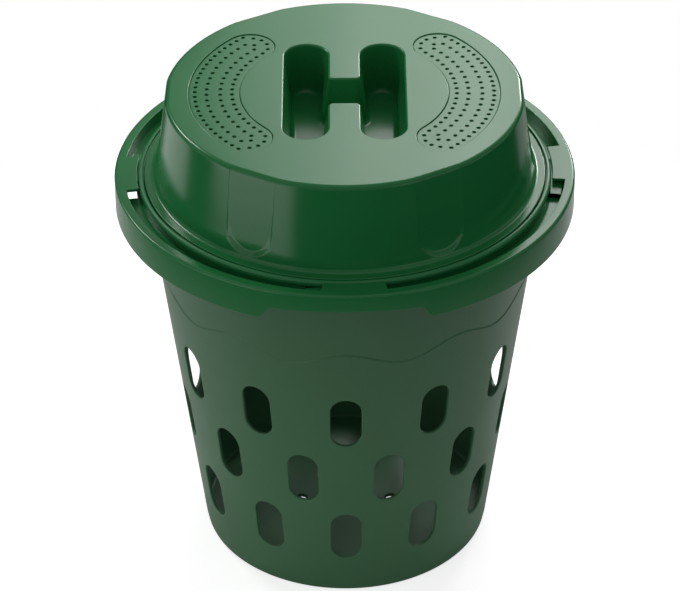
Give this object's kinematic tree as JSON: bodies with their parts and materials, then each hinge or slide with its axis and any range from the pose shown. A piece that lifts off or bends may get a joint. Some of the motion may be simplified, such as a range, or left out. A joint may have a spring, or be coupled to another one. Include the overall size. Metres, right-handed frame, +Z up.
{
  "type": "wormery",
  "caption": "Tapered slotted worm composting tub with a clip-on collar and a domed twist-lock lid with a recessed H grip and perforated vents.",
  "frame": {"origin": "centre of the foot ring that the tub stands on", "axes": "+Z up through the middle of the lid, -Y towards the front, +X to the right of someone facing the front"},
  "size_m": [0.29, 0.29, 0.3225],
  "materials": {
    "tub_plastic": "satin moulded dark green",
    "collar_plastic": "semi-gloss moulded green",
    "lid_plastic": "semi-gloss moulded green",
    "vent_plastic": "semi-gloss moulded green",
    "seal_rubber": "smooth green elastomer"
  },
  "bodies": {
    "tub": {"tub": "tub_plastic", "collar": "collar_plastic"},
    "seal": {"seal_ring": "seal_rubber"},
    "lid": {"lid": "lid_plastic", "left_vent": "vent_plastic", "right_vent": "vent_plastic"}
  },
  "joints": [
    {"name": "lid_lift", "type": "slide", "parent": "tub", "child": "seal", "axis": [0, 0, 1], "range_m": [0, 0.25]},
    {"name": "lid_twist", "type": "hinge", "parent": "seal", "child": "lid", "pos_m": [0, 0, 0.266], "axis": [0, 0, 1], "range_deg": [0, 45]}
  ]
}
